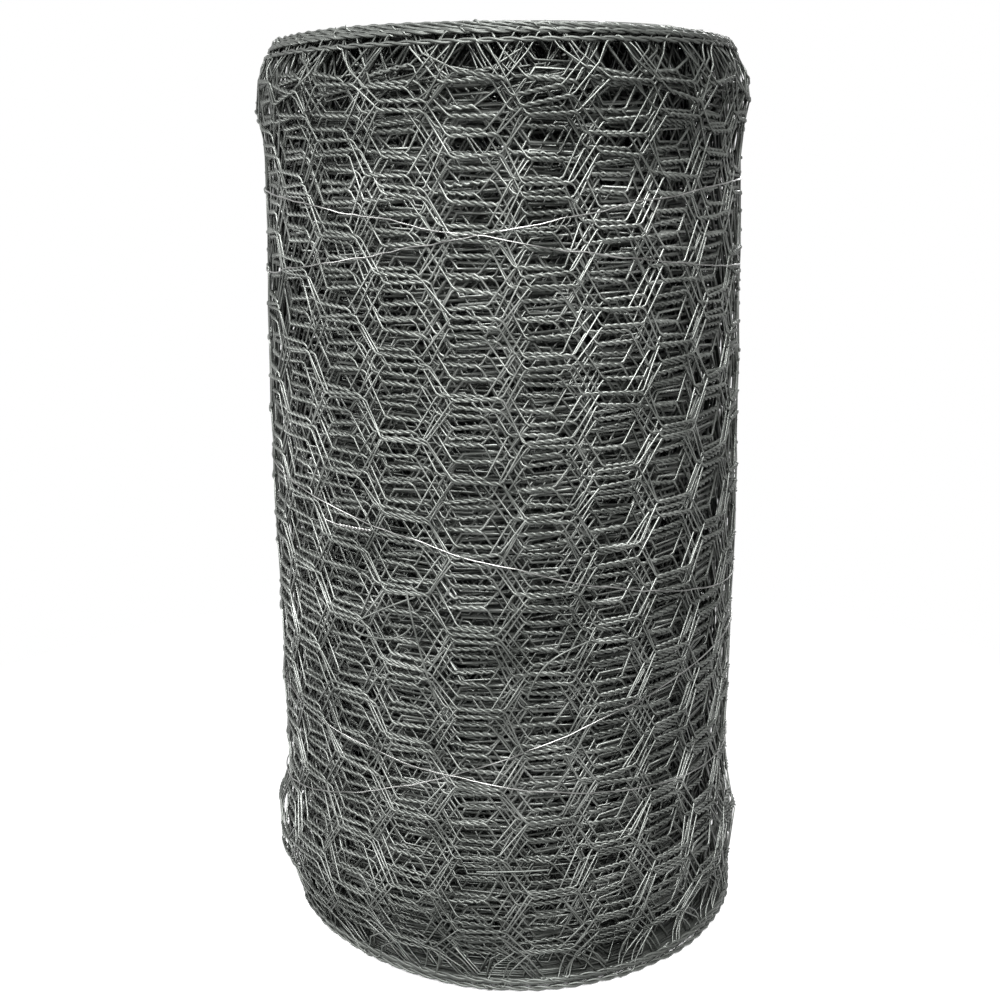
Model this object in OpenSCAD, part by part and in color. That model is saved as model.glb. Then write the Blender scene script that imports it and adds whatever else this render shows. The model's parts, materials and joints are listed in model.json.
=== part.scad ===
// Roll of hexagonal wire netting, standing on one end.
// One length of netting is wound turn over turn round an open bore. Its edges, the selvages,
// show as rings on both ends. Tie wires wrapped round the outside keep the roll from springing open.

/* [Netting] */
// Width of the netting, which is the height of the standing roll
netting_width = 609.6; // [560:0.1:1220]
// Width of the selvage, the edge wires twisted together
selvage_w = 1.1; // [0.6:0.05:1.15]
// How much narrower the tight outermost turn is drawn than the slack innermost turn
draw_in = 12; // [0:0.5:25]
// How closely the drawing in is kept to the outermost turns: 1 is an even slope, more is a late drop
draw_in_bend = 14; // [1:1:20]

/* [Roll] */
// Diameter of the open bore down the middle
bore_d = 90; // [40:1:200]
// Number of turns wound round the bore
turns = 72; // [20:1:100]
// Thickness that each turn adds to the roll
turn_pitch = 1.6; // [1.2:0.05:3]
// How much further out the looser foot of the outermost turn stands than its rim
foot_spread = 7; // [0:0.5:10]
// Depth of the gap that shows between neighbouring selvages
selvage_gap_depth = 1.8; // [0.5:0.1:4]

/* [Collar and foot] */
// How far the netting swells out below its tight top selvage
collar_swell = 5; // [0:0.5:10]
// Depth of the fullest part of the collar below the top of the outermost turn
collar_drop = 27; // [20:1:38]
// Half the height of the collar
collar_span = 36; // [15:1:46]
// How far the netting swells out above its tight bottom selvage
foot_swell = 2.5; // [0:0.5:8]
// Height of the fullest part of the foot above the floor
foot_rise = 38; // [34:1:40]
// Half the height of the foot's swell
foot_span = 32; // [15:1:33]

/* [Tie wires] */
// Diameter of the tie wire
tie_d = 1.0; // [0.6:0.1:2.5]
// Clearance between a tie wire and the netting under it
tie_clearance = 0.3; // [0.1:0.1:0.9]
// Height of the upper tie wire, as a share of the netting width
upper_tie_at = 0.8; // [0.74:0.005:0.815]
// Direction in which the wraps of the upper tie wire cross, in degrees to the right of the front
upper_tie_turn = -6; // [-180:1:180]
// Drop of the upper tie wire's first wrap, from one side of the roll to the other
upper_tie_fall = 52; // [10:1:80]
// Rise of the upper tie wire's second wrap, from one side of the roll to the other
upper_tie_rise = 60; // [10:1:80]
// Height of the middle tie wire, as a share of the netting width
middle_tie_at = 0.475; // [0.43:0.005:0.66]
// Drop of the middle tie wire, from the left side of the roll to the right
middle_tie_fall = 88; // [0:1:130]
// Height of the lower tie wire, as a share of the netting width
lower_tie_at = 0.245; // [0.24:0.005:0.29]
// Direction in which the wraps of the lower tie wire cross, in degrees to the right of the front
lower_tie_turn = -13; // [-180:1:180]
// Drop of the lower tie wire's first wrap, from one side of the roll to the other
lower_tie_fall = 56; // [10:1:140]
// Rise of the lower tie wire's second wrap, from one side of the roll to the other
lower_tie_rise = 124; // [10:1:140]

/* [Hidden] */

$fn = 180;
swell_steps = 12;
zinc_grey = [0.42, 0.43, 0.42];
tie_grey = [0.55, 0.56, 0.55];

bore_r = bore_d / 2;
roll_r = bore_r + turns * turn_pitch;
foot_pitch = turn_pitch + foot_spread / turns;
rim_z = turn_top(turns - 1);
collar_z = rim_z - collar_drop;
collar_high = min(collar_span, collar_drop);

tie_steps = 72;
tie_sides = 6;

// Inner radius of one turn, counted from the bore outwards
function turn_r(i, pitch) = bore_r + i * pitch;

// Height of one turn's top selvage: the outer turns, wound tighter, are drawn in more
function turn_top(i) = netting_width - draw_in * pow(i / (turns - 1), draw_in_bend);

// Radii between which one turn's selvage shows flat on an end of the roll
function selvage_start(i, pitch) = i == 0 ? bore_r : turn_r(i, pitch) + (pitch - selvage_w) / 2;
function selvage_end(i, pitch) = turn_r(i + 1, pitch) - (i == turns - 1 ? 0 : (pitch - selvage_w) / 2);

// Radius of the outer face, without its swells, at a height
function body_r(z) = roll_r + foot_spread * (1 - z / rim_z);

// Swell of the outer face at a height above or below the fullest part of a bulge
function swell(most, span, dz) = most * (1 + cos(180 * dz / span)) / 2;

// Selvage rings of the bottom end, from the bore outwards, all resting on the floor
function bottom_rings() = [
    for (i = [0 : turns - 1]) each [
        [selvage_start(i, foot_pitch), 0],
        [selvage_end(i, foot_pitch), 0],
        if (i < turns - 1) [turn_r(i + 1, foot_pitch), selvage_gap_depth]
    ]
];

// Selvage rings of the top end, from the rim inwards, stepping up to the slack inner turns
function top_rings() = [
    for (i = [turns - 1 : -1 : 0]) each [
        [selvage_end(i, turn_pitch), turn_top(i)],
        [selvage_start(i, turn_pitch), turn_top(i)],
        if (i > 0) [turn_r(i, turn_pitch), turn_top(i) - selvage_gap_depth]
    ]
];

// Outer face of the roll round the swell above the floor
function foot_curve() = [
    for (s = [0 : swell_steps])
        let (dz = foot_span * (2 * s / swell_steps - 1))
        [body_r(foot_rise + dz) + swell(foot_swell, foot_span, dz), foot_rise + dz]
];

// Outer face of the roll from the lower edge of the collar up to just under the rim
function collar_curve() = [
    for (s = [0 : swell_steps - 1])
        let (dz = -collar_span + (collar_high + collar_span) * s / swell_steps)
        [body_r(collar_z + dz) + swell(collar_swell, collar_span, dz), collar_z + dz]
];

// The wound netting: a turned solid with its bore, and a ring for every turn on both ends
module netting_roll() {
    color(zinc_grey)
        rotate_extrude()
            polygon(concat(bottom_rings(), foot_curve(), collar_curve(), top_rings()));
}

// Point on the skin of a tie wire that hugs the roll along a slanted oval
function tie_point(at, fall, round, about) =
    let (
        lie_z = at - fall / 2 * cos(round),
        lie_r = (body_r(lie_z) + tie_clearance + tie_d / 2) / cos(180 / tie_steps),
        out = lie_r + tie_d / 2 * cos(about)
    )
    [out * cos(round), out * sin(round), lie_z + tie_d / 2 * sin(about)];

// One wrap of tie wire round a height, which falls from left to right across the front of the roll
module tie_wrap(at, fall) {
    points = [
        for (i = [0 : tie_steps - 1], j = [0 : tie_sides - 1])
            tie_point(at, fall, 360 * i / tie_steps, 360 * j / tie_sides)
    ];
    faces = [
        for (i = [0 : tie_steps - 1], j = [0 : tie_sides - 1])
            let (ni = (i + 1) % tie_steps, nj = (j + 1) % tie_sides)
            each [
                [i * tie_sides + j, i * tie_sides + nj, ni * tie_sides + nj],
                [i * tie_sides + j, ni * tie_sides + nj, ni * tie_sides + j]
            ]
    ];
    polyhedron(points, faces, convexity = 4);
}

// A tie wire wound twice round the roll, so that its wraps cross on the front and again behind
module crossed_tie(at, fall, rise) {
    union() {
        tie_wrap(at, fall);
        tie_wrap(at, -rise);
    }
}

module tie_wire_upper() {
    color(tie_grey)
        rotate([0, 0, upper_tie_turn])
            crossed_tie(upper_tie_at * netting_width, upper_tie_fall, upper_tie_rise);
}

module tie_wire_middle() {
    color(tie_grey)
        tie_wrap(middle_tie_at * netting_width, middle_tie_fall);
}

module tie_wire_lower() {
    color(tie_grey)
        rotate([0, 0, lower_tie_turn])
            crossed_tie(lower_tie_at * netting_width, lower_tie_fall, lower_tie_rise);
}

netting_roll();
tie_wire_upper();
tie_wire_middle();
tie_wire_lower();
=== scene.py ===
import json
import math

import bpy
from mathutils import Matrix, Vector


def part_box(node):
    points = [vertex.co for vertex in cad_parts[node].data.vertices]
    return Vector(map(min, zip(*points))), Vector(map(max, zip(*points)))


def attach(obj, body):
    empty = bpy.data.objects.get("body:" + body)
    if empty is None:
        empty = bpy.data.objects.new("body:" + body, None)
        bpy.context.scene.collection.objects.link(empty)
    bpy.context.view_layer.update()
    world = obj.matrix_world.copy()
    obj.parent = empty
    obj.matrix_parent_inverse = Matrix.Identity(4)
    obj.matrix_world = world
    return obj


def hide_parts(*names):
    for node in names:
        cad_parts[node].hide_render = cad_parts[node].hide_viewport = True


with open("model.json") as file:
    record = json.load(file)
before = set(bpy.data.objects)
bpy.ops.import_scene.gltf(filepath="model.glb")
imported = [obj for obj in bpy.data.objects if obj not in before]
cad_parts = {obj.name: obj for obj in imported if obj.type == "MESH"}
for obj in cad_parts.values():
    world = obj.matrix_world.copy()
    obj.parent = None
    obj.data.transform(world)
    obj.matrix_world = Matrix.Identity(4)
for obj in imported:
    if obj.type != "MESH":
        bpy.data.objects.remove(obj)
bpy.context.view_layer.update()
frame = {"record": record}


# Netting: one long sheet of hexagonal mesh, made by twisting each drawn steel wire with the wire
# above it and the wire below it in turn, then dipped in zinc. It is wound turn over turn round an
# open bore, and stays a roll by its own friction and the tie wires.

class Term:
    """A value in a node tree: operators on it add Math nodes, and node() adds any other node."""

    def __init__(self, tree, socket=None):
        self.tree, self.socket = tree, socket

    def node(self, kind, settings=None, sockets=None, out=0):
        made = self.tree.nodes.new(kind)
        for name, value in (settings or {}).items():
            if name == "stops":
                ramp = made.color_ramp
                while len(ramp.elements) < len(value):
                    ramp.elements.new(0.5)
                for element, (place, colour) in zip(ramp.elements, value):
                    element.position, element.color = place, colour
            else:
                setattr(made, name, value)
        for key, value in (sockets or {}).items():
            if isinstance(value, Term):
                self.tree.links.new(value.socket, made.inputs[key])
            else:
                made.inputs[key].default_value = value
        return Term(self.tree, made.outputs[out] if made.outputs else None)

    def other(self, out):
        return Term(self.tree, self.socket.node.outputs[out])

    def math(self, operation, *others):
        return self.node("ShaderNodeMath", {"operation": operation}, dict(enumerate((self,) + others)))

    def __add__(self, other):
        return self.math("ADD", other)

    def __sub__(self, other):
        return self.math("SUBTRACT", other)

    def __rsub__(self, other):
        return self.node("ShaderNodeMath", {"operation": "SUBTRACT"}, {0: other, 1: self})

    def __mul__(self, other):
        return self.math("MULTIPLY", other)

    def __truediv__(self, other):
        return self.math("DIVIDE", other)

    def __mod__(self, other):
        return self.math("MODULO", other)

    def __pow__(self, other):
        return self.math("POWER", other)

    __radd__, __rmul__ = __add__, __mul__


netting_low, netting_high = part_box("netting_roll")
netting_width = netting_high.z - netting_low.z
bore_r = next(m for m in frame["record"]["mounts"] if m["name"] == "bore")["dims"]["r_mm"] / 1000
turns = 72
turn_pitch = 0.0016
roll_r = bore_r + turns * turn_pitch
first_r = bore_r + turn_pitch / 2
last_r = roll_r - turn_pitch / 2
draw_in = 0.0095
rim_z = netting_width - draw_in
foot_spread = 0.007
cut_end_angle = math.radians(-111.7)

wire_d = 0.0013
mesh_rows = 24
row_rise = netting_width / mesh_rows
half_mesh = 0.044
twist_part = 0.70
twist_spins = 3
selvage_strand_d = 0.0018

# The outer turns lie mesh on mesh, with a whole number of half meshes round each; it is odd, so that
# the twists of each turn lie over the holes of the next. The turns under them are evenly meshed.
tight_turns, halves_round = 12, 23
tight_r = last_r - tight_turns * turn_pitch
slack_run = (tight_r ** 2 - first_r ** 2) * math.pi / turn_pitch
slack_halves = round(slack_run / half_mesh)
half_meshes = slack_halves + tight_turns * halves_round

# Where the roll is fullest and where its edges are tucked in: the height, how far the swell or tuck
# reaches up and down from it, and how far it stands out or goes in
collar = (netting_width - 0.039, 0.036, 0.005)
belly = (0.34, 0.24, 0.003)
ankle = (0.054, 0.05, 0.009)
rim_tuck = (netting_width, 0.03, 0.008)
foot_tuck = (0.0, 0.03, 0.004)

# How far the foot of the roll has slid to the right and to the front, and up to which height
slid_right, slid_front, slid_height = 0.006, 0.0118, 0.035


def drift(place, per_half, start):
    """Slow wander along the netting, about 0 to 1."""
    return place.node("ShaderNodeTexNoise", {"noise_dimensions": "1D"},
                      {"W": place * per_half + start, "Scale": 1.0, "Detail": 1.0})


def bulge(z, middle, span, most):
    """Swell of the roll round a height."""
    far = ((z - middle) / span).math("MAXIMUM", -1.0).math("MINIMUM", 1.0)
    return ((far * math.pi).math("COSINE") + 1.0) * (most / 2)


def wound(place, height, out, lift):
    """Where a point of the flat netting lies on the roll: place counts half meshes along the netting
    from its inner end, height is measured across it, out and lift move the point off the sheet."""
    # Round the roll: the turns have slipped on each other, and further where they are no longer firm
    slip_run, slips_per_turn = 0.006, 1.7
    firm_turns, loose_slip = 8.0, 0.045
    slack = place.math("MINIMUM", float(slack_halves))
    slack_r = (slack * (slack_run / slack_halves * turn_pitch / math.pi) + first_r ** 2).math("SQRT")
    turns_in = tight_turns - (place - slack) / halves_round + (tight_r - slack_r) / turn_pitch
    radius = last_r - turns_in * turn_pitch
    share = (radius - bore_r) / (turns * turn_pitch)
    slip = (turns_in * slips_per_turn).math("SINE") * slip_run / radius
    angle = cut_end_angle + turns_in * (2 * math.pi) + slip
    angle = angle + (turns_in - firm_turns).math("MAXIMUM", 0.0) * loose_slip

    # Its two edges: the outermost turn is drawn in at the rim, most of all in front. At the foot it
    # stands on the floor, a little tipped up at the left, and the turns under it nestle higher.
    outermost_fade, outer_fade = 60.0, 20.0
    floor_margin, foot_drift, foot_drift_per_half, foot_drift_start = 0.0021, 0.003, 0.075, 37.3
    edge_margin, rim_drift, rim_drift_per_half, rim_drift_start = 0.004, 0.005, 0.06, 74.6
    tip_left, tip_focus, tip_lift = 0.9, 6.0, 0.006
    nestle_from, nestle_rate, nestle_lift = 0.75, 4.0, 0.008
    front_dip = 0.006
    outermost = share ** outermost_fade
    outer = share ** outer_fade
    tipped = (angle + tip_left).math("COSINE").math("MAXIMUM", 0.0) ** tip_focus * outer
    nestled = ((turns_in - nestle_from) * nestle_rate).math("MAXIMUM", 0.0).math("MINIMUM", 1.0) * outer
    foot = floor_margin + nestle_lift * nestled + tipped * tip_lift
    foot = foot + drift(place, foot_drift_per_half, foot_drift_start) * (1.0 - outermost) * foot_drift
    dipped = angle.math("COSINE").math("MAXIMUM", 0.0) * front_dip + draw_in
    rim = netting_width - edge_margin - dipped * outermost
    rim = rim - drift(place, rim_drift_per_half, rim_drift_start) * rim_drift

    # Between the edges: the rows of neighbouring turns are staggered in height, and sway along the netting
    free_from_foot, free_from_rim = 12.0, 6.0
    stagger_rise, staggers_per_turn, free_part, high_part = 0.0127, 0.8334, 0.9, 0.1
    sway_rise, sways_per_half, sways_up = 0.006, 0.09, 5.0
    across = height / netting_width
    free = (across * free_from_foot).math("MINIMUM", (1.0 - across) * free_from_rim).math("MINIMUM", 1.0)
    stagger = (turns_in * staggers_per_turn).math("PINGPONG", 1.0) * 2.0 - 1.0
    sheet = place.node("ShaderNodeCombineXYZ", sockets={0: place * sways_per_half, 1: height * sways_up})
    sway = place.node("ShaderNodeTexNoise", {"noise_dimensions": "2D"},
                      {"Vector": sheet, "Scale": 1.0, "Detail": 1.0}) - 0.5
    z = foot + (rim - foot) * across + lift
    z = z + stagger * stagger_rise * (free * free_part + across * high_part) + sway * (2 * sway_rise) * free

    # Out from the middle: the swells fade inwards, the skin ripples, and the outer turns are pressed
    # close to each other
    swell_fade = 2.5
    ripples_round, ripples_up, ripples_inwards, ripple_rise = 4.0, 24.0, 22.0, 0.004
    pressed_close, press_per_turn = 0.011, 0.14
    swell = bulge(z, *collar) + bulge(z, *belly) + bulge(z, *ankle)
    swell = swell - bulge(z, *rim_tuck) - bulge(z, *foot_tuck)
    skin = place.node("ShaderNodeCombineXYZ", sockets={
        0: angle.math("SINE") * ripples_round, 1: angle.math("COSINE") * ripples_round, 2: z * ripples_up})
    ripple = place.node("ShaderNodeTexNoise", {"noise_dimensions": "4D"},
                        {"Vector": skin, "W": share * ripples_inwards, "Scale": 1.0, "Detail": 1.0})
    around = radius + out + swell * share ** swell_fade + (1.0 - z / rim_z) * foot_spread * share
    around = around + (ripple - 0.5) * ripple_rise * share
    around = around + (1.0 - (turns_in * -press_per_turn).math("EXPONENT")) * pressed_close * share
    slid = bulge(z, 0.0, slid_height, 1.0)
    return place.node("ShaderNodeCombineXYZ", sockets={
        0: around * angle.math("SINE") + slid * slid_right,
        1: around * angle.math("COSINE") * -1.0 - slid * slid_front,
        2: z})


def node_group(name, sizes):
    """A new tree with named inputs for its sizes: the tree, its input terms and their identifiers."""
    tree = bpy.data.node_groups.new(name, "GeometryNodeTree")
    tree.interface.new_socket("Mesh", in_out="OUTPUT", socket_type="NodeSocketGeometry")
    keys = {}
    for size, value in sizes.items():
        kind = {int: "NodeSocketInt", float: "NodeSocketFloat"}.get(type(value), "NodeSocketMaterial")
        socket = tree.interface.new_socket(size, in_out="INPUT", socket_type=kind)
        socket.default_value = value
        keys[size] = socket.identifier
    given = Term(tree).node("NodeGroupInput")
    return tree, {size: given.other(size) for size in sizes}, keys


def drawn_wire(term, points, group, count, thickness, sides, finish, strands, fullness=1.0):
    """Joins the points of each wire, draws them out as round wire and gives the wire its finish.
    Each wire also gets a strip of its own on a flat map, along its length and round its girth."""
    strip_part = 0.9
    along = term.node("GeometryNodeInputIndex") - group * count
    points = term.node("GeometryNodeStoreNamedAttribute", {"data_type": "FLOAT"},
                       {0: points, 2: "along", 3: along / count})
    points = term.node("GeometryNodeStoreNamedAttribute", {"data_type": "FLOAT"},
                       {0: points, 2: "strip", 3: group})
    curves = term.node("GeometryNodePointsToCurves", sockets={0: points, 1: group, 2: along})
    girth = term.node("GeometryNodeCurvePrimitiveCircle",
                      sockets={"Resolution": sides, "Radius": thickness / 2})
    girth = term.node("GeometryNodeStoreNamedAttribute", {"data_type": "FLOAT"},
                      {0: girth, 2: "girth", 3: term.node("GeometryNodeSplineParameter")})
    mesh = term.node("GeometryNodeCurveToMesh", sockets={
        "Curve": curves, "Profile Curve": girth, "Scale": fullness, "Fill Caps": True})
    mesh = term.node("GeometryNodeSetShadeSmooth", sockets={0: mesh})
    place = [term.node("GeometryNodeInputNamedAttribute", {"data_type": "FLOAT"}, {0: name})
             for name in ("along", "strip", "girth")]
    flat = term.node("ShaderNodeCombineXYZ", sockets={
        0: place[0], 1: (place[1] + place[2] * strip_part) / strands})
    mesh = term.node("GeometryNodeStoreNamedAttribute", {"data_type": "FLOAT2", "domain": "CORNER"},
                     {0: mesh, 2: "OFBake", 3: flat})
    for name in ("along", "strip", "girth"):
        mesh = term.node("GeometryNodeRemoveAttribute", sockets={0: mesh, "Name": name})
    mesh = term.node("GeometryNodeRealizeInstances", sockets={0: mesh})
    mesh = term.node("GeometryNodeSetMaterial", sockets={0: mesh, 2: finish})
    term.node("NodeGroupOutput", sockets={0: mesh})


def piece_of(name, tree, keys, **sizes):
    """Runs a tree with the given sizes and keeps the result as a plain mesh object."""
    empty = bpy.data.objects.new(name, bpy.data.meshes.new(name))
    bpy.context.scene.collection.objects.link(empty)
    making = empty.modifiers.new("making", "NODES")
    making.node_group = tree
    for size, value in sizes.items():
        making[keys[size]] = value
    made = empty.evaluated_get(bpy.context.evaluated_depsgraph_get())
    mesh = bpy.data.meshes.new_from_object(made)
    empty.modifiers.clear()
    empty.data = mesh
    mesh.name = name
    return empty


def weathered_zinc_with_painted_shade(name, shade, inside_shade, dullness, rim_painted_shade):
    """Dull zinc with bright and dark patches. Its colour is darkened near the rim as painted shade, and is
    darker towards the foot.
    Deeper under the outermost turns it is darkened as painted shade, and in the twists, where it ran thick
    between the wires, it is duller."""
    patches_per_m, patch_part, patch_dullness = 55.0, 0.55, 0.15
    clouds_per_m, cloud_part = 11.0, 0.45
    outer_depth, inner_depth = 0.004, 0.018
    twist_dark, twist_dullness = 0.2, 0.08
    darkened_edges = ((netting_width - 0.1, netting_width - 0.015, rim_painted_shade), (0.13, 0.0, 0.77))
    zinc = bpy.data.materials.new(name)
    zinc.use_nodes = True
    tree = Term(zinc.node_tree)
    skin = zinc.node_tree.nodes["Principled BSDF"]
    place = tree.node("ShaderNodeTexCoord", out="Object")
    patch = tree.node("ShaderNodeTexNoise", sockets={"Vector": place, "Scale": patches_per_m, "Detail": 2.0})
    cloud = tree.node("ShaderNodeTexNoise", sockets={"Vector": place, "Scale": clouds_per_m, "Detail": 2.0})
    x = tree.node("ShaderNodeSeparateXYZ", sockets={0: place})
    y, z = x.other("Y"), x.other("Z")
    face_r = last_r + (1.0 - z / rim_z) * foot_spread
    depth = face_r - (x * x + y * y).math("SQRT")
    # Painted shade: the colour is darkened near the rim. Towards the foot it is also darker.
    for undarkened, darkest, darkening in darkened_edges:
        shade = shade * tree.node("ShaderNodeMapRange", sockets={0: z, 1: undarkened, 2: darkest, 3: 1.0, 4: darkening})
    # Painted shade: the colour darkens with depth under the outermost turns.
    painted_shade_and_twist_tone = tree.node("ShaderNodeMapRange", sockets={
        0: depth, 1: outer_depth, 2: inner_depth, 3: shade, 4: inside_shade})
    twisted = tree.node("ShaderNodeAttribute", {"attribute_name": "twisted"}, out="Fac")
    painted_shade_and_twist_tone = painted_shade_and_twist_tone * (1.0 - twisted * twist_dark)
    tone = tree.node("ShaderNodeValToRGB", {"stops": [
        (0.0, (0.012, 0.013, 0.012, 1)), (0.32, (0.058, 0.062, 0.057, 1)),
        (0.52, (0.13, 0.136, 0.128, 1)), (0.72, (0.26, 0.266, 0.258, 1))]},
        {"Fac": (patch * patch_part + cloud * cloud_part) * painted_shade_and_twist_tone})
    roughness = patch * patch_dullness + twisted * twist_dullness + dullness
    zinc.node_tree.links.new(tone.socket, skin.inputs["Base Color"])
    zinc.node_tree.links.new(roughness.socket, skin.inputs["Roughness"])
    skin.inputs["Metallic"].default_value = 0.7
    return zinc


turns_zinc = weathered_zinc_with_painted_shade("weathered zinc with painted shade", shade=0.87, inside_shade=0.7, dullness=0.27, rim_painted_shade=0.63)
netting_tree, size, netting_keys = node_group("wound netting", {
    "First half mesh": 0, "Last half mesh": 10, "Points in a twist": 2, "Sides": 3,
    "Wire thickness": wire_d, "Row rise": row_rise, "Twist part": twist_part,
    "Spins in a twist": float(twist_spins), "Selvage thickness": 2 * selvage_strand_d,
    "Uneven run": 0.05, "Uneven rise": 0.0018, "Uneven tilt": 0.003, "Bend": 0.0008, "Flick": 0.005,
    "Twist fullness": 0.4, "Bow": 0.5,
    "Finish": turns_zinc})
term = Term(netting_tree)
points_each = (size["Last half mesh"] - size["First half mesh"]) * size["Points in a twist"] + 1.0
index = term.node("GeometryNodeInputIndex")
wire_number = ((index + 0.5) / points_each).math("FLOOR")
step = index - wire_number * points_each
halves_done = ((step + 0.5) / size["Points in a twist"]).math("FLOOR")
half_number = halves_done + size["First half mesh"]
twist_share = (step - halves_done * size["Points in a twist"]) / (size["Points in a twist"] - 1.0)
from_middle = (twist_share * 2.0 - 1.0).math("ABSOLUTE")
joins_below = (half_number + wire_number) % 2.0
row = wire_number + 1.0 - joins_below
at_selvage = row.math("LESS_THAN", 0.5) + row.math("GREATER_THAN", mesh_rows - 0.5)
inside = 1.0 - at_selvage
ids_in_half = 32.0
twist_id = half_number * ids_in_half + row


def uneven(seed):
    """A random number from -1 to 1, the same for both wires of a twist."""
    return term.node("FunctionNodeRandomValue", {"data_type": "FLOAT"},
                     {2: -1.0, 3: 1.0, "ID": twist_id, "Seed": seed}, out=1)


# Along the netting: the row next to the top selvage is pulled about most, and the cut end is frayed
top_row_pull, top_row_drop = 1.5, 0.0025
tail_halves, tail_fray = 0.9, 0.3
pulled = (row - (mesh_rows - 2.0)).math("MAXIMUM", 0.0) * inside * top_row_pull + 1.0
place = half_number + size["Twist part"] * twist_share + uneven(11) * size["Uneven run"] * pulled
tail = (place - (half_meshes - tail_halves)).math("MAXIMUM", 0.0)
place = place + tail * uneven(14) * tail_fray

# Across the netting: the wires bend apart at the ends of a twist, and bow where they leave a selvage
splay_from = 0.9
bow_from, bow_roundness = 0.5, 0.7
splay = ((from_middle - splay_from) / (1.0 - splay_from)).math("MAXIMUM", 0.0)
bow = ((from_middle - bow_from) / (1.0 - bow_from)).math("MAXIMUM", 0.0) ** bow_roundness
bow = bow * at_selvage * size["Bow"]
height = (row + bow * (1.0 - row * (2.0 / mesh_rows))) * size["Row rise"] - (pulled - 1.0) * top_row_drop
height = height + splay * splay * (joins_below * 2.0 - 1.0) * size["Bend"]
height = height + inside * pulled * (
    uneven(12) * size["Uneven rise"] + uneven(13) * size["Uneven tilt"] * (twist_share - 0.5))

# Round each other: the wires of a twist spin about its middle. Zinc fills the twists, less so near the foot
coil_part, foot_rows, foot_thinness = 0.63, 6.0, 0.12
spin = twist_share * size["Spins in a twist"] * (2 * math.pi) + (joins_below - 0.5) * math.pi
coil = size["Wire thickness"] * coil_part + at_selvage * size["Selvage thickness"] / 4
coil = coil * (1.0 - bow * 2.0)
flick = tail * tail * size["Flick"] * (uneven(15) + 1.0)
clear = (row / foot_rows).math("MINIMUM", 1.0)
twisted = (1.0 - splay) * inside
points = term.node("GeometryNodePoints", sockets={
    "Count": points_each * float(mesh_rows),
    "Position": wound(place, height, coil * spin.math("COSINE") + flick, coil * spin.math("SINE"))})
points = term.node("GeometryNodeStoreNamedAttribute", {"data_type": "FLOAT"},
                   {0: points, 2: "twisted", 3: twisted})
fullness = twisted * clear * size["Twist fullness"] + (1.0 - foot_thinness) + clear * foot_thinness
drawn_wire(term, points, wire_number, points_each, size["Wire thickness"], size["Sides"], size["Finish"],
           float(mesh_rows), fullness)

# The three outermost pairs of turns have every twist drawn out. The turns under them get plainer, and
# their wires thicker, since they show only between the turns above; the innermost wires aren't bowed.
ends = [half_meshes - turn * halves_round for turn in (0, 2, 4, 6, 8)]
ends += [int(ends[-1] * 0.56), 0]
for number, (twist_points, sides, thickness, wire_bow) in enumerate((
        (19, 4, 1.0, 0.5), (19, 4, 1.0, 0.5), (19, 4, 1.1, 0.5),
        (10, 3, 1.4, 0.5), (2, 3, 1.7, 0.0), (2, 3, 1.9, 0.0))):
    netting = piece_of("netting_turns_%d" % (number + 1), netting_tree, netting_keys, **{
        "First half mesh": ends[number + 1], "Last half mesh": ends[number],
        "Points in a twist": twist_points, "Sides": sides,
        "Wire thickness": thickness * wire_d, "Bow": wire_bow})
    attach(netting, "root")
    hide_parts("netting_roll")


# Selvages: the two edges of the netting, each a cable of two wires twisted together, which the
# netting's outermost wires are wrapped round. Wound up, they are the spirals on the roll's ends.

# The lay of the cable, in half meshes
selvage_lay = 0.024 / half_mesh
selvage_zinc = weathered_zinc_with_painted_shade("selvage zinc", shade=0.7, inside_shade=0.6, dullness=0.4, rim_painted_shade=0.55)
selvage_tree, size, selvage_keys = node_group("wound selvages", {
    "First place": 0.0, "Last place": 1.0, "Points": 100, "Strands": 2.0, "Sides": 3,
    "Strand thickness": selvage_strand_d, "Coil radius": selvage_strand_d / 2, "Lay": selvage_lay,
    "Finish": selvage_zinc})
term = Term(selvage_tree)
index = term.node("GeometryNodeInputIndex")
strand_number = ((index + 0.5) / size["Points"]).math("FLOOR")
step = index - strand_number * size["Points"]
at_top = strand_number.math("GREATER_THAN", size["Strands"] - 0.5)
place = size["First place"] + (size["Last place"] - size["First place"]) * step / (size["Points"] - 1.0)
spin = place / size["Lay"] * (2 * math.pi) + (strand_number % 2.0) * math.pi
points = term.node("GeometryNodePoints", sockets={
    "Count": size["Points"] * size["Strands"] * 2.0,
    "Position": wound(place, at_top * netting_width, size["Coil radius"] * spin.math("COSINE"),
                      size["Coil radius"] * spin.math("SINE"))})
drawn_wire(term, points, strand_number, size["Points"], size["Strand thickness"], size["Sides"],
           size["Finish"], size["Strands"] * 2.0)

# Outside, both strands are drawn; further in, one thicker strand stands for the cable
for name, first, last, spacing, strands, sides, thickness, coil in (
        ("selvages_outer", ends[3], half_meshes, selvage_lay / 8, 2.0, 6, selvage_strand_d,
         selvage_strand_d / 2),
        ("selvages_inner", 0, ends[3], 1 / 3, 1.0, 4, 1.5 * selvage_strand_d, 0.0)):
    selvages = piece_of(name, selvage_tree, selvage_keys, **{
        "First place": float(first), "Last place": float(last), "Points": int((last - first) / spacing),
        "Strands": strands, "Sides": sides, "Strand thickness": thickness, "Coil radius": coil})
    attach(selvages, "root")
    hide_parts("netting_roll")


# Loose ends: a few wires of the outermost turn have sprung out of it on the front. They are the
# netting's own wire, still held at one end, and lie curled on the face of the roll.

def on_face(degrees, z, lift):
    """A point on the outer face of the roll, or a lift above it, degrees to the right of the front."""
    r = last_r + foot_spread * (1 - z / rim_z) + lift
    for middle, span, most in (collar, belly, ankle):
        r += most / 2 * (1 + math.cos(math.pi * max(-1, min(1, (z - middle) / span))))
    return r * math.sin(math.radians(degrees)), -r * math.cos(math.radians(degrees)), z


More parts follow.
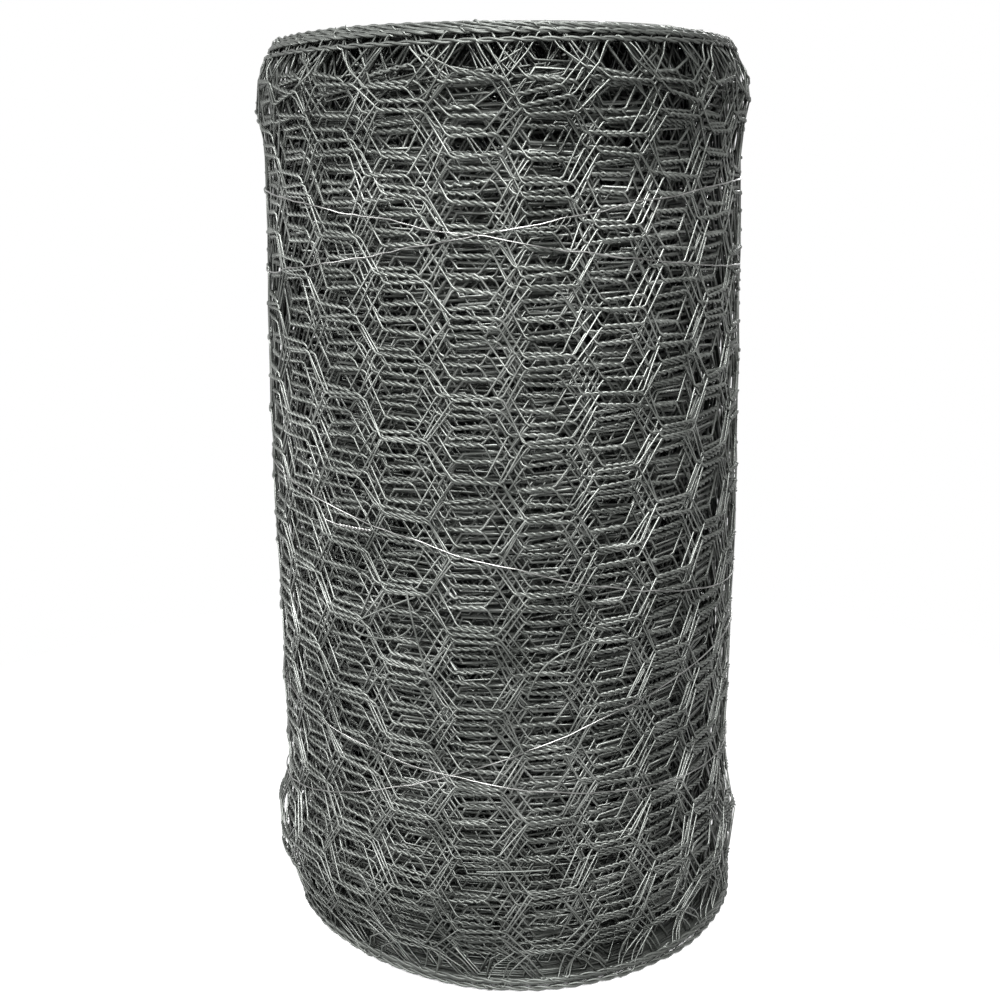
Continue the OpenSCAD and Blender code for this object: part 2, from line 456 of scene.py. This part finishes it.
def bent_wires(name, routes, thickness, finish):
    """Round wires along smooth routes, as one plain mesh."""
    bends = bpy.data.curves.new(name, "CURVE")
    bends.dimensions, bends.resolution_u, bends.use_fill_caps = "3D", 5, True
    bends.bevel_depth, bends.bevel_resolution = thickness / 2, 1
    for route in routes:
        spline = bends.splines.new("NURBS")
        spline.points.add(len(route) - 1)
        for point, spot in zip(spline.points, route):
            point.co = (*spot, 1)
        spline.order_u, spline.use_endpoint_u = 4, True
    drawn = bpy.data.objects.new(name, bends)
    bpy.context.scene.collection.objects.link(drawn)
    mesh = bpy.data.meshes.new_from_object(drawn.evaluated_get(bpy.context.evaluated_depsgraph_get()))
    bpy.data.objects.remove(drawn)
    mesh.materials.clear()
    mesh.materials.append(finish)
    piece = bpy.data.objects.new(name, mesh)
    bpy.context.scene.collection.objects.link(piece)
    return piece


# Each bend of a loose wire: degrees to the right of the front, height, and lift off the face
loose_routes = (
    ((-20, 0.268, 0.0), (-25, 0.262, 0.002), (-32, 0.251, 0.005), (-35, 0.245, 0.007), (-33, 0.240, 0.008),
     (-29, 0.2405, 0.008), (-24.5, 0.239, 0.006), (-21, 0.246, 0.004), (-20.5, 0.250, 0.003)),
    ((-22, 0.272, 0.0), (-21, 0.260, 0.003), (-18.5, 0.236, 0.005), (-17, 0.215, 0.005), (-14, 0.192, 0.001)),
    ((4.5, 0.205, 0.0), (5.7, 0.2165, 0.002), (8, 0.228, 0.004), (11.3, 0.2343, 0.004), (18, 0.239, 0.001)),
    ((-7, 0.0845, 0.0), (-3, 0.0855, 0.002), (4, 0.0858, 0.002), (9, 0.085, 0.0)))
loose_ends = bent_wires("loose_ends", [[on_face(*spot) for spot in route] for route in loose_routes], wire_d,
                        selvage_zinc)
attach(loose_ends, "root")
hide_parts("netting_roll")


# Tie wires: soft bright wire pulled tight round the roll. The upper and lower ones go round twice,
# so that their wraps cross on the front; the middle one goes round once.

bright = bpy.data.materials.new("bright zinc")
bright.use_nodes = True
bright_tree = Term(bright.node_tree)
bright_skin = bright.node_tree.nodes["Principled BSDF"]
bright_place = bright_tree.node("ShaderNodeTexCoord", out="Object")
bright_patch = bright_tree.node("ShaderNodeTexNoise", sockets={
    "Vector": bright_place, "Scale": 55.0, "Detail": 2.0})
bright_tone = bright_tree.node("ShaderNodeValToRGB", {"stops": [
    (0.32, (0.1, 0.1, 0.096, 1)), (0.68, (0.24, 0.24, 0.233, 1))]}, {"Fac": bright_patch})
bright_roughness = bright_patch * 0.25 + 0.2
bright.node_tree.links.new(bright_tone.socket, bright_skin.inputs["Base Color"])
bright.node_tree.links.new(bright_roughness.socket, bright_skin.inputs["Roughness"])
bright_skin.inputs["Metallic"].default_value = 0.9

tie_d, tie_sides = 0.0010, 5
tie_gap = 0.0006
kinks_per_point, kinks_apart, kink_rise, kink_out = 0.19, 50.0, 0.004, 0.002
tie_tree, size, tie_keys = node_group("tie wire", {
    "Height": 0.3, "First fall": 0.05, "Second fall": 0.0, "Wraps": 1.0, "Direction": 0.0,
    "Points in a wrap": 160, "Thickness": tie_d, "Lie radius": last_r + tie_gap, "Finish": bright})
term = Term(tie_tree)
index = term.node("GeometryNodeInputIndex")
wrap = ((index + 0.5) / size["Points in a wrap"]).math("FLOOR").math("MINIMUM", size["Wraps"] - 1.0)
angle = index / size["Points in a wrap"] * (2 * math.pi) + math.pi
fall = size["First fall"] + (size["Second fall"] - size["First fall"]) * wrap
kink = term.node("ShaderNodeTexNoise", {"noise_dimensions": "1D"},
                 {"W": index * kinks_per_point + wrap * kinks_apart, "Scale": 1.0}) - 0.5
z = size["Height"] - fall / 2 * angle.math("SINE") + kink * kink_rise
lie = size["Lie radius"] + (1.0 - z / rim_z) * foot_spread + bulge(z, *belly) + bulge(z, *ankle)
lie = lie + kink * kink_out
facing = angle + size["Direction"]
tie_points = size["Points in a wrap"] * size["Wraps"] + 1.0
points = term.node("GeometryNodePoints", sockets={
    "Count": tie_points,
    "Position": term.node("ShaderNodeCombineXYZ", sockets={
        0: lie * facing.math("SINE"), 1: lie * facing.math("COSINE") * -1.0, 2: z})})
drawn_wire(term, points, index * 0.0, tie_points, size["Thickness"], tie_sides, size["Finish"], 1.0)

for name, height, first_fall, second_fall, wraps, direction in (
        ("upper", 0.8, 0.052, -0.060, 2.0, -6), ("middle", 0.475, 0.088, 0.0, 1.0, 0),
        ("lower", 0.245, 0.056, -0.124, 2.0, -13)):
    tie = piece_of("tie_%s" % name, tie_tree, tie_keys, **{
        "Height": height * netting_width, "First fall": first_fall, "Second fall": second_fall, "Wraps": wraps,
        "Direction": math.radians(direction)})
    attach(tie, "root")
    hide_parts("tie_wire_%s" % name)

# The ends of the middle tie are twisted together on the left of the front, and one end stands off.
twist_steps, twist_lay = 40, 8
twist_from, twist_sweep, twist_z, twist_lift = -39, 9, 0.308, 0.0024
stray_end = (-42, 0.311, 0.006)
closing = []
for strand in (0, math.pi):
    route = []
    for step in range(twist_steps + 1):
        degrees = twist_from + twist_sweep * step / twist_steps
        turn = 2 * math.pi * step / twist_lay + strand
        z = twist_z + tie_d / 2 * math.sin(turn)
        route.append(on_face(degrees, z, twist_lift + tie_d / 2 * math.cos(turn)))
    closing.append(route)
closing[0].insert(0, on_face(*stray_end))
closing_twist = bent_wires("tie_middle_twist", closing, tie_d, bright)
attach(closing_twist, "root")
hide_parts("tie_wire_middle")


# Studio: a plain white floor and surround, soft lamps at the left, in front, above and behind, and the
# camera just under the height of the roll's rim, a little less than a metre from its middle.

def seen_in(tree):
    """1 for what the camera sees, in a reflection too, and 0 for what only lights the roll."""
    path = tree.node("ShaderNodeLightPath", out="Is Camera Ray")
    return (path + path.other("Is Glossy Ray") + path.other("Is Transmission Ray")).math("MINIMUM", 1.0)


floor_reach = 30
floor = bpy.data.objects.new("floor", bpy.data.meshes.new("floor"))
floor.data.from_pydata([(-floor_reach, -floor_reach, 0), (floor_reach, -floor_reach, 0),
                        (floor_reach, floor_reach, 0), (-floor_reach, floor_reach, 0)], [], [(0, 1, 2, 3)])
bpy.context.scene.collection.objects.link(floor)
paper = bpy.data.materials.new("white paper")
paper.use_nodes = True
paper_tree = Term(paper.node_tree)
x = paper_tree.node("ShaderNodeSeparateXYZ", sockets={0: paper_tree.node("ShaderNodeTexCoord", out="Object")})
from_roll = ((x - slid_right) ** 2.0 + (x.other("Y") + slid_front) ** 2.0).math("SQRT")
near = paper_tree.node("ShaderNodeMapRange", sockets={0: from_roll, 1: 0.158, 2: 0.170, 3: 0.0, 4: 0.85})
far = paper_tree.node("ShaderNodeMapRange", sockets={0: from_roll, 1: 0.18, 2: 0.7, 3: 0.0, 4: 0.15})
white = paper_tree.node("ShaderNodeEmission", sockets={"Color": (1, 1, 1, 1), "Strength": 1.0})
matt = paper_tree.node("ShaderNodeBsdfDiffuse", sockets={"Color": (0.9, 0.9, 0.9, 1)})
cover = paper_tree.node("ShaderNodeMixShader", sockets={
    0: seen_in(paper_tree) * (near + far), 1: matt, 2: white})
paper.node_tree.links.new(cover.socket, paper.node_tree.nodes["Material Output"].inputs["Surface"])
floor.data.materials.append(paper)

surround_light = 0.36
world = bpy.data.worlds.new("surround")
bpy.context.scene.world = world
world.use_nodes = True
surround = world.node_tree.nodes["Background"]
surround.inputs["Color"].default_value = (1, 1, 1, 1)
strength = seen_in(Term(world.node_tree)) * (1.0 - surround_light) + surround_light
world.node_tree.links.new(strength.socket, surround.inputs["Strength"])

for name, spot, aim, across, up, watts in (
        ("left lamp", (-1.9, -0.5, 1.0), (0, 0, 0.3), 0.6, 1.2, 66),
        ("front lamp", (0.1, -1.75, 1.5), (0, 0, 0.25), 0.7, 1.1, 107),
        ("top lamp", (-0.1, -0.75, 2.05), (0, 0, 0.3), 0.8, 0.6, 93),
        ("back lamp", (0.5, 1.9, 1.3), (0, 0, 0.3), 0.9, 1.2, 60)):
    lamp = bpy.data.lights.new(name, "AREA")
    lamp.shape, lamp.size, lamp.size_y, lamp.energy = "RECTANGLE", across, up, watts
    stand = bpy.data.objects.new(name, lamp)
    stand.location = spot
    stand.rotation_euler = (Vector(aim) - Vector(spot)).to_track_quat("-Z", "Y").to_euler()
    bpy.context.scene.collection.objects.link(stand)

lens_pixels, picture_pixels, sensor = 1297, 1000, 36
looks_down, leans = 14.4, 0.45
camera = bpy.data.objects.new("camera", bpy.data.cameras.new("camera"))
camera.data.sensor_width = sensor
camera.data.lens = lens_pixels / picture_pixels * sensor
camera.location = (-0.002, -0.92, 0.526)
camera.rotation_euler = (math.radians(90 - looks_down), math.radians(leans), 0)
camera.data.clip_start = 0.01
bpy.context.scene.collection.objects.link(camera)
bpy.context.scene.camera = camera
bpy.context.scene.view_settings.view_transform = "Standard"
